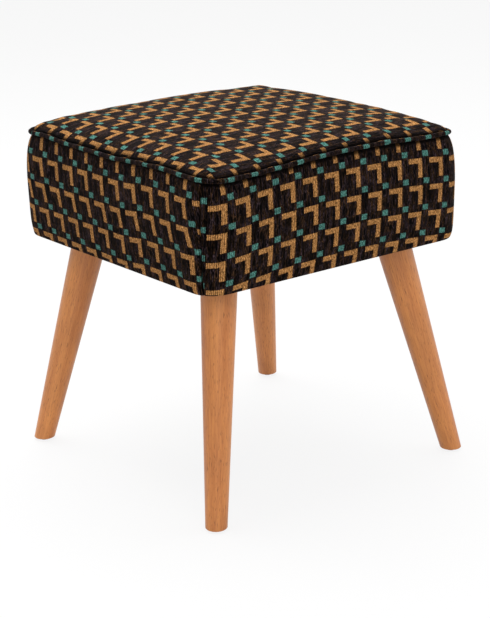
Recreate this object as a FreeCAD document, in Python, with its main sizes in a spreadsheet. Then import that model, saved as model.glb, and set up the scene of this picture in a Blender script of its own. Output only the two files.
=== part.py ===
import FreeCAD, Part
import math
import os
import Sketcher

# An upholstered square stool on four splayed round legs.
# Lengths are millimetres, +Z is up, and the origin is on the floor under the middle of the seat.

SIZES = (
    ("seat_half", 200, "middle of the seat to the middle of the piping"),
    ("side_foam", 14, "outside of the frame to the piping's line"),
    ("frame_corner", 14, "radius of the frame's corners"),
    ("leg_height", 294, "floor to the underside of the seat"),
    ("side_height", 140, "underside of the seat to the middle of the piping"),
    ("crown_rise", 24, "rise of the cushion over its edge"),
    ("side_bulge", 8, "swell of the padded sides between their edges"),
    ("side_foot", 1.5, "how far the foot of a side stands outside the piping's line"),
    ("cover_thick", 1.2, "thickness of the cover fabric"),
    ("cover_setback", 3.3, "piping's line to the top edge of a side panel"),
    ("hem_width", 12, "width of the cover turned in under a rail"),
    ("hem_bevel", 2.4, "bevel where the cover turns under a rail"),
    ("seam_run", 15, "side seam to the start of the corner's rounding"),
    ("welt_radius", 3, "radius of the piping"),
    ("cord_radius", 1.7, "radius of the cord in the piping"),
    ("tail_width", 12, "piping's line to the inner edge of its sewn tail"),
    ("tail_thick", 1.2, "thickness of the piping's sewn tail"),
    ("soft_gap", 0.3, "clearance between two soft layers"),
    ("rail_height", 100, "height of the frame's rails"),
    ("rail_thick", 18, "thickness of the frame's rails"),
    ("block_leg", 40, "length of a corner block along a rail"),
    ("deck_thick", 12, "thickness of the plywood deck"),
    ("vent_radius", 12, "radius of the deck's air hole"),
    ("batten_width", 68, "width of a leg batten"),
    ("batten_thick", 25, "thickness of a leg batten"),
    ("dust_thick", 0.5, "thickness of the dust cover"),
    ("dust_margin", 2, "outside of the frame to the edge of the dust cover"),
    ("leg_inset", 28, "inside of a rail to the middle of a leg's top"),
    ("leg_splay", 57, "how far a leg's foot stands out from its top, along each side"),
    ("leg_top_radius", 23, "radius of a leg at its top"),
    ("leg_foot_radius", 13.6, "radius of a leg at its foot"),
    ("leg_bevel", 0.8, "bevel of a leg's lower edge"),
    ("pad_radius", 7, "radius of a foot pad"),
    ("pad_thick", 3, "thickness of a foot pad"),
    ("pad_bevel", 0.7, "bevel of a foot pad's lower edge"),
    ("nail_radius", 1.2, "radius of a foot pad's nail"),
    ("nail_length", 16, "length of a foot pad's nail"),
    ("nail_point", 3, "length of the nail's point"),
    ("bolt_radius", 4, "radius of a hanger bolt"),
    ("bolt_depth", 34, "length of a hanger bolt in its leg"),
    ("bolt_proud", 2, "length of a hanger bolt past its tee nut"),
    ("nut_flange_half", 9.5, "half of the width of a tee nut's six-sided flange"),
    ("nut_flange_thick", 1.5, "thickness of a tee nut's flange"),
    ("nut_barrel_radius", 5, "radius of a tee nut's barrel"),
    ("nut_barrel_length", 12, "length of a tee nut's barrel"),
    ("staple_width", 10, "length of a staple's crown"),
    ("staple_wire_width", 1.2, "width of the staple wire"),
    ("staple_wire_thick", 0.6, "thickness of the staple wire"),
    ("hem_staple_depth", 8, "length of the legs of a staple in the hem or the dust cover"),
    ("frame_staple_depth", 32, "length of the legs of a staple in the deck or the frame"),
    ("hem_staple_inset", 5, "outside of the frame to the hem's staples"),
    ("dust_staple_inset", 9, "outside of the frame to the dust cover's staples"),
    ("frame_staple_inset", 12, "outside of the frame to the staples in its corners"),
    ("batten_staple_pitch", 20, "distance between the staples at a batten's end"),
    ("fit_gap", 0.1, "clearance of a fastener in its hole"),
    ("overrun", 20, "how far a cutting shape runs past what it cuts"),
)

# Half of the seat that the cushion's flat middle takes, and how far it drops there.
FLAT_SHARE = 0.62
FLAT_DROP_SHARE = 0.077
# Where the cushion's cross sections lie, and the least height of one.
SECTION_SHARES = (-1, -0.85, -0.6, 0, 0.6, 0.85, 1)
LEAST_CROWN_SHARE = 0.02
# The part of a rail's inner length that a row of staples spans.
STAPLE_ROW_SHARE = 0.84
# Heights of the staples in the frame's corners, as shares of a rail's height.
FRAME_STAPLE_SHARES = (0.25, 0.75)
HEM_STAPLES = 4
DUST_STAPLES = 3
DECK_STAPLES = 3
BATTEN_STAPLES = 3
HEX_SIDES = 6
QUARTER_RISE_SHARE = 1 - math.sqrt(1 / 2)
SIDES = {"front": 0, "right": 90, "back": 180, "left": 270}
CORNERS = {"front_left": (-1, -1), "front_right": (1, -1), "back_right": (1, 1), "back_left": (-1, 1)}
FULL_TURN = 360

doc = FreeCAD.newDocument("stool")
sheet = doc.addObject("Spreadsheet::Sheet", "Sizes")
for row, (alias, number, meaning) in enumerate(SIZES, start=1):
    sheet.set(f"A{row}", meaning)
    sheet.set(f"B{row}", str(number))
    sheet.setAlias(f"B{row}", alias)
doc.recompute()


class Size:
    """A length with the formula that binds it to the sheet."""

    def __init__(self, number, formula):
        self.number = number
        self.formula = formula

    def join(self, sign, other, number):
        return Size(number, f"({self.formula} {sign} {formula_of(other)})")

    def __add__(self, other):
        return self.join("+", other, self.number + float(other))

    def __sub__(self, other):
        return self.join("-", other, self.number - float(other))

    def __mul__(self, other):
        return self.join("*", other, self.number * float(other))

    def __truediv__(self, other):
        return self.join("/", other, self.number / float(other))

    def __neg__(self):
        return self * -1

    def __float__(self):
        return float(self.number)


def formula_of(value):
    return value.formula if isinstance(value, Size) else str(value)


def size(alias):
    return Size(float(sheet.get(alias)), f"Sizes.{alias}")


def root(value):
    return Size(math.sqrt(float(value)), f"sqrt({formula_of(value)})")


def vector(x, y, z=0):
    return FreeCAD.Vector(float(x), float(y), float(z))


seat_half = size("seat_half")
cover_thick = size("cover_thick")
soft_gap = size("soft_gap")
frame_half = seat_half - size("side_foam")
frame_corner = size("frame_corner")
corner_radius = frame_corner + size("side_foam")
corner_centre = seat_half - corner_radius
rail_thick = size("rail_thick")
frame_inside = frame_half - rail_thick
rail_height = size("rail_height")
batten_thick = size("batten_thick")
batten_width = size("batten_width")
tail_thick = size("tail_thick")
leg_top_reach = frame_inside - size("leg_inset")
leg_foot_reach = leg_top_reach + size("leg_splay")
pad_thick = size("pad_thick")
bolt_radius = size("bolt_radius")
fit_gap = size("fit_gap")
overrun = size("overrun")

underside = size("leg_height")
hem_level = underside + size("dust_thick")
base_level = hem_level + cover_thick
deck_level = base_level + rail_height
foam_level = deck_level + size("deck_thick")
batten_level = hem_level + batten_thick
welt_level = underside + size("side_height")
tail_top = welt_level + tail_thick / 2
tail_bottom = welt_level - tail_thick / 2

pieces = []


def keep(piece, name):
    """Marks an object as a sub-part of the stool and gives it its name."""
    piece.Label = name
    pieces.append(piece)


def bind(thing, **formulas):
    for path, value in formulas.items():
        thing.setExpression(path, formula_of(value))


def place(thing, x=0, y=0, z=0):
    for axis, value in zip("xyz", (x, y, z)):
        thing.setExpression(f"Placement.Base.{axis}", formula_of(value))


def new_sketch(body, name, role, level=0):
    """A sketch on one of the body's own origin planes, moved along its normal."""
    sketch = body.newObject("Sketcher::SketchObject", name)
    plane = next(item for item in body.Origin.OriginFeatures if item.Role == role)
    sketch.AttachmentSupport = [(plane, "")]
    sketch.MapMode = "FlatFace"
    sketch.setExpression("AttachmentOffset.Base.z", formula_of(level))
    return sketch


def arc_middle(start, end, rise):
    """The middle of an arc that rises to the right of the way from start to end."""
    along = (end - start).normalize()
    return (start + end) * 0.5 + vector(along.y, -along.x) * float(rise)


def fix_point(sketch, item, end, x, y):
    for kind, axis, value in (("DistanceX", -2, x), ("DistanceY", -1, y)):
        if isinstance(value, Size):
            number = sketch.addConstraint(Sketcher.Constraint(kind, -1, 1, item, end, float(value)))
            sketch.setExpression(f"Constraints[{number}]", formula_of(value))
        else:
            sketch.addConstraint(Sketcher.Constraint("PointOnObject", item, end, axis))


def fix_radius(sketch, item, radius):
    number = sketch.addConstraint(Sketcher.Constraint("Radius", item, float(radius)))
    sketch.setExpression(f"Constraints[{number}]", formula_of(radius))


def arc_radius(start, end, rise):
    run = end[0] - start[0]
    climb = end[1] - start[1]
    return (run * run + climb * climb) / (rise * 8) + rise / 2


def draw(sketch, corners, mirror=1, closed=True):
    """A line through the corners, all bound to the sheet.

    A corner that also holds a rise and a side starts an arc: side 1 bows it to the right of the
    way to the next corner, and side -1 to the left. Mirror -1 turns the drawing about the Y axis.
    """
    corners = [(corner[0] * mirror, *corner[1:]) for corner in corners]
    targets = corners[1:] + corners[:1] if closed else corners[1:]
    last = None
    for (x, y, *bow), target in zip(corners, targets):
        start = vector(x, y)
        end = vector(*target[:2])
        line = Part.LineSegment(start, end)
        if bow:
            line = Part.Arc(start, arc_middle(start, end, bow[0] * bow[1] * mirror), end)
        item = sketch.addGeometry(line)
        tail, tip = sketch.getPoint(item, 1), sketch.getPoint(item, 2)
        near, far = (1, 2) if tail.distanceToPoint(start) < tip.distanceToPoint(start) else (2, 1)
        fix_point(sketch, item, near, x, y)
        if bow:
            fix_radius(sketch, item, arc_radius((x, y), target, bow[0]))
        if last:
            sketch.addConstraint(Sketcher.Constraint("Coincident", *last, item, near))
        else:
            first = (item, near)
        last = (item, far)
    if closed:
        sketch.addConstraint(Sketcher.Constraint("Coincident", *last, *first))
    else:
        fix_point(sketch, *last, *targets[-1][:2])
    return sketch


def draw_circle(sketch, x, y, radius):
    item = sketch.addGeometry(Part.Circle(vector(x, y), vector(0, 0, 1), float(radius)))
    fix_point(sketch, item, 3, x, y)
    fix_radius(sketch, item, radius)
    return sketch


def block(name, corners, level, height):
    """A prism with the given plan outline."""
    body = doc.addObject("PartDesign::Body", name)
    feature = body.newObject("PartDesign::Pad", "pad")
    feature.Profile = draw(new_sketch(body, "plan", "XY_Plane", level), corners)
    bind(feature, Length=height)
    return body


def rectangle(left, front, right, back):
    return [(left, front), (right, front), (right, back), (left, back)]


def side_rectangle(facing, outer, inner, half):
    """The plan of a bar along the left or right side: facing is -1 on the left and 1 on the right."""
    left, right = sorted((outer * facing, inner * facing), key=float)
    return rectangle(left, -half, right, half)


def front_rectangle(facing, outer, inner, half):
    """The plan of a bar along the front or back: facing is -1 at the front and 1 at the back."""
    front, back = sorted((outer * facing, inner * facing), key=float)
    return rectangle(-half, front, half, back)


def rounded_square(half, radius):
    """The corners of a square with rounded corners, with the arcs' rises."""
    rise = radius * QUARTER_RISE_SHARE
    flat = half - radius
    starts = ((flat, -half), (half, flat), (-flat, half), (-half, -flat))
    ends = ((half, -flat), (flat, half), (-half, flat), (-flat, -half))
    return [corner for start, end in zip(starts, ends) for corner in ((*start, rise, 1), end)]


def turned(name, corners):
    """A solid of revolution about the body's own Z axis."""
    body = doc.addObject("PartDesign::Body", name)
    profile = draw(new_sketch(body, "half_section", "XZ_Plane"), corners)
    feature = body.newObject("PartDesign::Revolution", "revolution")
    feature.Profile = profile
    feature.ReferenceAxis = (profile, ["V_Axis"])
    feature.Angle = FULL_TURN
    return body


def sweep(body, kind, section, path):
    """Runs a section along all of a path, adding to the body or cutting from it."""
    doc.recompute()
    feature = body.newObject(f"PartDesign::{kind}", "sweep")
    feature.Profile = section
    feature.Spine = (path, [f"Edge{number}" for number in range(1, len(path.Shape.Edges) + 1)])


def still(name, shape):
    """A plain object that holds a shape worked out from the sheet."""
    feature = doc.addObject("Part::Feature", name)
    feature.Shape = shape
    return feature


def disc(radius, height, level):
    return Part.makeCylinder(float(radius), float(height), vector(0, 0, level))


def flat_face(points):
    return Part.Face(Part.makePolygon(points + points[:1]))


def staple(depth, extra=0):
    """A staple whose legs point up, or its room when it gets some extra."""
    thick = float(size("staple_wire_thick")) + extra
    across = float(size("staple_wire_width")) + 2 * extra
    outer = float(size("staple_width")) / 2 + extra
    inner = outer - across
    tip = float(depth) + extra
    right = [(outer, -extra), (outer, tip), (inner, tip), (inner, thick)]
    corners = right + [(-x, z) for x, z in reversed(right)]
    return flat_face([vector(x, -across / 2, z) for x, z in corners]).extrude(vector(0, across))


def hanger_bolt(extra=0):
    """A bolt that stands in a leg's top and passes through the leg batten and the tee nut."""
    foot = float(underside - size("bolt_depth")) - extra
    top = float(batten_level + size("nut_flange_thick") + size("bolt_proud"))
    return disc(bolt_radius + extra, top - foot, foot)


def hexagon(half, x, y):
    """The corners of a six-sided outline about a point, given half of its width across the flats."""
    radius = half / math.cos(math.pi / HEX_SIDES)
    turns = [math.pi * (number * 2 + 1) / HEX_SIDES for number in range(HEX_SIDES)]
    return [(radius * math.cos(turn) + x, radius * math.sin(turn) + y) for turn in turns]


def tee_nut(extra=0):
    """A nut with a six-sided flange, pressed into the top of a leg batten."""
    length = float(size("nut_barrel_length")) + extra
    barrel = disc(size("nut_barrel_radius") + extra, length, batten_level - length)
    if extra:
        return barrel
    plan = flat_face([vector(x, y, batten_level) for x, y in hexagon(size("nut_flange_half"), 0, 0)])
    flange = plan.extrude(vector(0, 0, size("nut_flange_thick")))
    bore = disc(bolt_radius + fit_gap, length + float(overrun), batten_level - length)
    return flange.fuse(barrel).cut(bore)


def pad_nail_room(extra):
    return disc(size("nail_radius") + extra, size("nail_length") + extra, pad_thick)


def aimed(legs, crown=(0, 0, 1)):
    """The turn that points a fastener's Z axis along its legs and its X axis along its crown."""
    return FreeCAD.Rotation(vector(*crown), vector(0, 0), vector(*legs), "ZXY")


def beside(side, along, out):
    """The place along and out from the middle of one of the seat's sides."""
    angle = math.radians(SIDES[side])
    return math.cos(angle) * along + math.sin(angle) * out, math.sin(angle) * along - math.cos(angle) * out


def staple_row(count, inset, level, legs):
    """A row of staples along each side, each with its crown along the side."""
    row = float(frame_inside * 2) * STAPLE_ROW_SHARE
    for side in SIDES:
        for number in range(count):
            along = row * (number / (count - 1) - 1 / 2)
            spot = vector(*beside(side, along, float(frame_half - inset)), level)
            yield FreeCAD.Placement(spot, aimed((0, 0, legs), (*beside(side, 1, 0), 0)))


def frame_staple_places():
    """Staples through the front and back rails into the side rails, and through those into the battens."""
    outside = float(frame_half - size("staple_wire_thick"))
    for side_x, side_y in CORNERS.values():
        x = float(frame_half - size("frame_staple_inset")) * side_x
        for share in FRAME_STAPLE_SHARES:
            level = base_level + rail_height * share
            yield FreeCAD.Placement(vector(x, outside * side_y, level), aimed((0, -side_y, 0)))
        for number in range(BATTEN_STAPLES):
            shift = size("batten_staple_pitch") * (number - (BATTEN_STAPLES - 1) / 2)
            y = float(frame_inside - batten_width / 2 + shift) * side_y
            level = hem_level + batten_thick / 2
            yield FreeCAD.Placement(vector(outside * side_x, y, level), aimed((-side_x, 0, 0), (0, 1, 0)))


def corner_places(reach):
    for side_x, side_y in CORNERS.values():
        yield FreeCAD.Placement(vector(side_x * float(reach), side_y * float(reach)), FreeCAD.Rotation())


def group(shape, places):
    """Copies of one fastener, or of its room, at all of its places."""
    copies = []
    for spot in places:
        copy = shape.copy()
        copy.Placement = spot
        copies.append(copy)
    return copies


wire_thick = size("staple_wire_thick")
hem_depth = size("hem_staple_depth")
frame_depth = size("frame_staple_depth")
extra = float(fit_gap)
# Each kind of fastener with its shape, the shape of its room and its places.
FASTENERS = {
    "frame_staples": (staple(frame_depth), staple(frame_depth, extra), frame_staple_places()),
    "deck_staples": (staple(frame_depth), staple(frame_depth, extra),
                     staple_row(DECK_STAPLES, rail_thick / 2, foam_level, -1)),
    "cover_staples": (staple(hem_depth), staple(hem_depth, extra),
                      staple_row(HEM_STAPLES, size("hem_staple_inset"), hem_level, 1)),
    "dust_cover_staples": (staple(hem_depth), staple(hem_depth, extra),
                           staple_row(DUST_STAPLES, size("dust_staple_inset"), underside - wire_thick, 1)),
    "tee_nuts": (tee_nut(), tee_nut(extra), corner_places(leg_top_reach)),
    "hanger_bolts": (hanger_bolt(), hanger_bolt(extra), corner_places(leg_top_reach)),
}
rooms = {"pad_nails": group(pad_nail_room(extra), corner_places(leg_foot_reach))}
for name, (shape, room, places) in FASTENERS.items():
    places = list(places)
    keep(still(name, Part.makeCompound(group(shape, places))), name)
    rooms[name] = group(room, places)


def with_rooms(body, name, *kinds):
    """Cuts out of a piece the room of the fasteners that pass through it."""
    doc.recompute()
    reach = body.Shape.BoundBox
    met = [room for kind in kinds for room in rooms[kind] if reach.intersect(room.BoundBox)]
    cut = doc.addObject("Part::Cut", f"{name}_drilled")
    cut.Base = body
    cut.Tool = still(f"{name}_rooms", Part.makeCompound(met))
    keep(cut, name)


def end_rail_plan(facing):
    """The plan of the front or back rail, whose outer corners follow the seat's."""
    inner = frame_inside * facing
    bend = corner_centre * facing
    outer = frame_half * facing
    rise = frame_corner * QUARTER_RISE_SHARE
    left = [(-frame_half, inner), (-frame_half, bend, rise, -facing), (-corner_centre, outer)]
    right = [(corner_centre, outer, rise, -facing), (frame_half, bend), (frame_half, inner)]
    return left + right


for name, facing in (("front_rail", -1), ("back_rail", 1)):
    rail = block(f"{name}_blank", end_rail_plan(facing), base_level, rail_height)
    with_rooms(rail, name, "frame_staples", "deck_staples", "cover_staples", "dust_cover_staples")
for name, facing in (("left_rail", -1), ("right_rail", 1)):
    plan = side_rectangle(facing, frame_half, frame_inside, frame_inside)
    rail = block(f"{name}_blank", plan, base_level, rail_height)
    with_rooms(rail, name, "frame_staples", "deck_staples", "cover_staples", "dust_cover_staples")
for name, facing in (("front_leg_batten", -1), ("back_leg_batten", 1)):
    plan = front_rectangle(facing, frame_inside, frame_inside - batten_width, frame_inside)
    batten = block(f"{name}_blank", plan, hem_level, batten_thick)
    with_rooms(batten, name, "frame_staples", "tee_nuts", "hanger_bolts")
for where, (side_x, side_y) in CORNERS.items():
    name = f"{where}_corner_block"
    x, y = frame_inside * side_x, frame_inside * side_y
    leg = size("block_leg")
    plan = [(x, y), (x - leg * side_x, y), (x, y - leg * side_y)]
    keep(block(name, plan, batten_level, deck_level - batten_level), name)

deck = block("seat_deck_blank", rounded_square(frame_half, frame_corner), deck_level, size("deck_thick"))
doc.recompute()
plan = new_sketch(deck, "air_hole_plan", "XY_Plane", foam_level)
vent = deck.newObject("PartDesign::Pocket", "air_hole")
vent.Profile = draw_circle(plan, 0, 0, size("vent_radius"))
vent.Type = "ThroughAll"
with_rooms(deck, "seat_deck", "deck_staples")

dust_margin = size("dust_margin")
dust_plan = rounded_square(frame_half - dust_margin, frame_corner - dust_margin)
dust_cover = block("dust_cover_blank", dust_plan, underside, size("dust_thick"))
with_rooms(dust_cover, "dust_cover", "dust_cover_staples", "hanger_bolts")


seam_place = corner_centre - size("seam_run")


def wrap_path(left, right):
    """Plan line of a side's covering along the piping, and round each corner that it wraps."""
    rise = corner_radius * QUARTER_RISE_SHARE
    start = [(-seam_place, -seat_half)]
    end = [(seam_place, -seat_half)]
    if left:
        start = [(-seat_half, -seam_place), (-seat_half, -corner_centre, rise, 1)]
        start += [(-corner_centre, -seat_half)]
    if right:
        end = [(corner_centre, -seat_half, rise, 1), (seat_half, -corner_centre)]
        end += [(seat_half, -seam_place)]
    return start + end


def covering(name, side, corners, left, right):
    """A soft strip with the given upright section along one side of the seat."""
    body = doc.addObject("PartDesign::Body", name)
    path = draw(new_sketch(body, "path", "XY_Plane"), wrap_path(left, right), closed=False)
    role, level = ("XZ_Plane", seam_place) if left else ("YZ_Plane", -seam_place)
    section = draw(new_sketch(body, "section", role, level), corners, mirror=-1)
    sweep(body, "AdditivePipe", section, path)
    body.Placement.Rotation = FreeCAD.Rotation(vector(0, 0, 1), SIDES[side])
    return body


def cover_section():
    """The side panel of the cover: bowed out, and turned in under the rail."""
    top = tail_bottom - fit_gap
    head = seat_half - size("cover_setback")
    foot = seat_half + size("side_foot")
    bevel = size("hem_bevel")
    hem = frame_half - size("hem_width")
    return [
        (hem, hem_level),
        (foot - bevel, hem_level),
        (foot, hem_level + bevel, size("side_bulge"), 1),
        (head, top),
        (head - cover_thick, top, size("side_bulge"), -1),
        (foot - cover_thick, hem_level + bevel),
        (foot - bevel, base_level),
        (hem, base_level),
    ]


def padding_section():
    """The foam on a side of the frame, bowed like the cover that it fills."""
    top = tail_bottom - fit_gap - soft_gap
    bottom = base_level + soft_gap
    skin = cover_thick + soft_gap
    inner = frame_half + fit_gap
    foot = seat_half + size("side_foot") - skin
    bevel = size("hem_bevel")
    return [
        (inner, bottom),
        (foot - bevel, bottom),
        (foot, bottom + bevel, size("side_bulge"), 1),
        (seat_half - size("cover_setback") - skin, top),
        (inner, top),
    ]


# The front panel wraps the two front corners and the side panels wrap the back ones.
PANEL_WRAPS = {"front": (1, 1), "right": (0, 1), "back": (0, 0), "left": (1, 0)}
# The foam does so at the front and the back, with straight strips between.
PADDING_WRAPS = {"front": (1, 1), "right": (0, 0), "back": (1, 1), "left": (0, 0)}
for side, (left, right) in PANEL_WRAPS.items():
    panel = covering(f"cover_{side}_blank", side, cover_section(), left, right)
    with_rooms(panel, f"cover_{side}", "cover_staples", "dust_cover_staples")
for side, (left, right) in PADDING_WRAPS.items():
    keep(covering(f"{side}_padding", side, padding_section(), left, right), f"{side}_padding")


def new_ring(name):
    """A body with a path round the seat along the piping's line."""
    body = doc.addObject("PartDesign::Body", name)
    return body, draw(new_sketch(body, "path", "XY_Plane"), rounded_square(seat_half, corner_radius))


def ring_section(body, name, corners):
    return draw(new_sketch(body, name, "YZ_Plane"), corners, mirror=-1)


def piping_section():
    """A round bead with a flat sewn tail that reaches in between the cover's panels."""
    radius = size("welt_radius")
    neck = seat_half - root(radius * radius - tail_thick * tail_thick / 4)
    end = seat_half - size("tail_width")
    bead = seat_half + radius - neck
    return [(end, tail_bottom), (neck, tail_bottom, bead, 1), (neck, tail_top), (end, tail_top)]


piping, path = new_ring("piping")
sweep(piping, "AdditivePipe", ring_section(piping, "section", piping_section()), path)
bore = hexagon(size("cord_radius") + fit_gap, seat_half, welt_level)
sweep(piping, "SubtractivePipe", ring_section(piping, "bore", bore), path)
keep(piping, "piping")
cord, path = new_ring("piping_cord")
core = hexagon(size("cord_radius"), seat_half, welt_level)
sweep(cord, "AdditivePipe", ring_section(cord, "section", core), path)
keep(cord, "piping_cord")


def crown_share(across):
    """How much of the cushion's rise is left at a share of the way from its middle to its edge."""
    slope = 2 * FLAT_DROP_SHARE / FLAT_SHARE
    past = max(abs(across) - FLAT_SHARE, 0)
    bend = (1 - FLAT_DROP_SHARE - slope * (1 - FLAT_SHARE)) / (1 - FLAT_SHARE) ** 2
    flat = min(abs(across), FLAT_SHARE)
    return 1 - FLAT_DROP_SHARE * (flat / FLAT_SHARE) ** 2 - slope * past - bend * past ** 2


def crown_section(share, level):
    """An upright cross section of the crowned cushion: a flat arc between two steeper ones."""
    half = float(seat_half)
    rise = float(size("crown_rise")) * max(crown_share(share), LEAST_CROWN_SHARE)

    def on_top(across):
        return vector(half * share, half * across, level + rise * crown_share(across))

    shoulder = (1 + FLAT_SHARE) / 2
    arcs = [
        Part.Arc(on_top(-1), on_top(-shoulder), on_top(-FLAT_SHARE)).toShape(),
        Part.Arc(on_top(-FLAT_SHARE), on_top(0), on_top(FLAT_SHARE)).toShape(),
        Part.Arc(on_top(FLAT_SHARE), on_top(shoulder), on_top(1)).toShape(),
    ]
    left = vector(half * share, -half, foam_level - overrun)
    right = vector(half * share, half, foam_level - overrun)
    sides = [Part.makeLine(on_top(1), right), Part.makeLine(right, left), Part.makeLine(left, on_top(-1))]
    return Part.Wire(arcs + sides)


def under_crown(level):
    """The space under the cushion's surface, whose edge is at the given level."""
    return Part.makeLoft([crown_section(share, float(level)) for share in SECTION_SHARES], True)


def column(half, radius, level):
    """A square column with rounded corners that stands on the given level."""
    edges = []
    corners = rounded_square(half, radius)
    for (x, y, *bow), target in zip(corners, corners[1:] + corners[:1]):
        start, end = vector(x, y, level), vector(*target[:2], level)
        if bow:
            edges.append(Part.Arc(start, arc_middle(start, end, bow[0]), end).toShape())
        else:
            edges.append(Part.makeLine(start, end))
    height = welt_level - foam_level + size("crown_rise") + overrun
    return Part.Face(Part.Wire(edges)).extrude(vector(0, 0, height))


cover_edge = tail_top + fit_gap
cover_half = seat_half - size("cover_setback")
cover_column = column(cover_half, cover_half - corner_centre, cover_edge)
cover_top = cover_column.common(under_crown(cover_edge + cover_thick)).cut(under_crown(cover_edge))
keep(still("cover_top", cover_top), "cover_top")
foam_column = column(frame_half, frame_corner, foam_level)
keep(still("seat_foam", foam_column.common(under_crown(cover_edge - soft_gap))), "seat_foam")


def leg(name, side_x, side_y):
    """A turned, tapered leg that leans out, cut level at its top and its foot."""
    splay = size("leg_splay")
    drop = underside - pad_thick
    length = root(splay * splay * 2 + drop * drop)
    top_radius = size("leg_top_radius")
    foot_radius = size("leg_foot_radius")
    flare = (top_radius - foot_radius) / length * overrun
    foot = -length - overrun
    corners = [(0, overrun), (0, foot), (foot_radius - flare, foot), (top_radius + flare, overrun)]
    blank = turned(f"{name}_blank", corners)
    blank.Placement.Rotation = FreeCAD.Rotation(vector(side_y, -side_x), 1)
    tilt = f"atan({formula_of(splay)} * sqrt(2) / {formula_of(drop)})"
    blank.setExpression("Placement.Rotation.Angle", tilt)
    place(blank, leg_top_reach * side_x, leg_top_reach * side_y, underside)
    slab = doc.addObject("Part::Box", f"{name}_slab")
    width = (leg_foot_reach + top_radius) * 2
    bind(slab, Length=width, Width=width, Height=drop)
    place(slab, -width / 2, -width / 2, pad_thick)
    level = doc.addObject("Part::Common", f"{name}_level")
    level.Base = blank
    level.Tool = slab
    doc.recompute()
    beveled = doc.addObject("Part::Chamfer", f"{name}_beveled")
    beveled.Base = level
    bevel = float(size("leg_bevel"))
    middle = float(underside) / 2
    beveled.Edges = [(number, bevel, bevel) for number, edge in enumerate(level.Shape.Edges, start=1)
                     if edge.BoundBox.ZMax < middle]
    return beveled


def foot_pad(name, side_x, side_y):
    """A round pad with a moulded-in nail and a flat face that rests on the floor."""
    radius = size("pad_radius")
    bevel = size("pad_bevel")
    shank = size("nail_radius")
    tip = pad_thick + size("nail_length")
    corners = [(0, 0), (radius - bevel, 0), (radius, bevel), (radius, pad_thick)]
    corners += [(shank, pad_thick), (shank, tip - size("nail_point")), (0, tip)]
    body = turned(name, corners)
    place(body, leg_foot_reach * side_x, leg_foot_reach * side_y)
    keep(body, name)


for where, (side_x, side_y) in CORNERS.items():
    with_rooms(leg(f"{where}_leg", side_x, side_y), f"{where}_leg", "hanger_bolts", "pad_nails")
    foot_pad(f"{where}_foot_pad", side_x, side_y)

doc.recompute()
for item in doc.Objects:
    if "Invalid" in item.State or "Error" in item.State:
        raise RuntimeError(f"{item.Label} was not built: {item.State}")
for piece in pieces:
    if piece.Shape.isNull() or not piece.Shape.isValid():
        raise RuntimeError(f"{piece.Label} has no valid shape")
os.makedirs("parts", exist_ok=True)
for piece in pieces:
    piece.Shape.exportStep(f"parts/{piece.Label}.step")
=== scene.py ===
import math

import bmesh
import bpy
import numpy as np
from mathutils import Matrix, Vector


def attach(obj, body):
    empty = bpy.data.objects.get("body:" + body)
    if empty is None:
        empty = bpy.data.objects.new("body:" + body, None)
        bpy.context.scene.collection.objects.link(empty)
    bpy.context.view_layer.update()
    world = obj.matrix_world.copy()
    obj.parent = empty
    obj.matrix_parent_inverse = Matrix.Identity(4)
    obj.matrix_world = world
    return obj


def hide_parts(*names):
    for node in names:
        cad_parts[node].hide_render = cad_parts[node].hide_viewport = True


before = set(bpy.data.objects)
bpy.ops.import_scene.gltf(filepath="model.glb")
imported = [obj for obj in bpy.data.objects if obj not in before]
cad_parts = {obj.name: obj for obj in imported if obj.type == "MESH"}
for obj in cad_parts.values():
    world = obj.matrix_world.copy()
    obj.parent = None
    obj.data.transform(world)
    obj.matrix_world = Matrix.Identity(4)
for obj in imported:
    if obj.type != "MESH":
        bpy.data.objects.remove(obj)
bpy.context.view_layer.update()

MM = 0.001
PICTURE = (490, 618)

# ------------------------ sizes of the seat, from the CAD
CORE = 0.172            # half of the square that the corners' centres make
PIPING_REACH = 0.028    # from that square out to the piping's line, and the corners' radius there
RAIL_REACH = 0.014      # the same, out to the frame's outer face
PIPING_LEVEL = 0.434
PIPING_RADIUS = 0.003
CORD_RADIUS = 0.0017
TAIL_TOP = 0.4346
TAIL_REACH = 0.0163
HEAD_REACH = 0.0247     # the panels' upper edge, just inside the piping
HEM_REACH = 0.002       # how far the hem is turned in under the rail
HEM_LEVEL = 0.2946
RAIL_UNDERSIDE = 0.2957
PANEL_TOP = 0.4333
FOOT_LEVEL = 0.2969
DECK_TOP = 0.4077
LEG_TOP_REACH = 0.140
LEG_SPLAY = 0.057
LEG_DROP = 0.291
LEG_TOP_RADIUS = 0.023
DUST_HALF = 0.184
DUST_LEVEL = 0.29425
DUST_HOLE = LEG_TOP_RADIUS + 0.9 * MM

CELL = 4 * MM           # spacing of the points of the simulated skins
ARC_RUN = 0.0325        # cloth that goes round a corner, for each radian of it
QUARTER = ARC_RUN * math.pi / 2

# ------------------------ the fabric's pattern
# A cell holds one bracket and one small square, and these are shares of it.
SQUARE_MIDDLE = (0.835, 0.865)
BRACKET = (0.02, 0.66, 0.03, 0.74)      # left, right, top, bottom
BRACKET_BARS = (0.19, 0.20)             # widths of its upper and its right-hand bar
SQUARE = (0.70, 0.97, 0.762, 0.968)     # left, right, top, bottom
PATTERN_BLUR = 0.008
PATTERN_RAGGED = (0.07, 0.05, 0)        # how far the pile's tufts blur it, across and down
RIBS_PER_CELL = 14
CLOTH_PITCH = 0.034                     # length of a cell of flat cloth

# How fine the changes of colour are in a cell, across the ribs and along them. The third number
# goes with the share of painted shade that the mesh gives each point.
TINT_GRAIN = (RIBS_PER_CELL * 0.8, 2.2, 0)
STREAK_GRAIN = (RIBS_PER_CELL * 0.45, 1.1, 7)
YARN_GRAIN = (RIBS_PER_CELL * 2, 11, 0)
PLY_RATE = 1570                         # half turns of 2 mm each, for the plywood's layers

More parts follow.
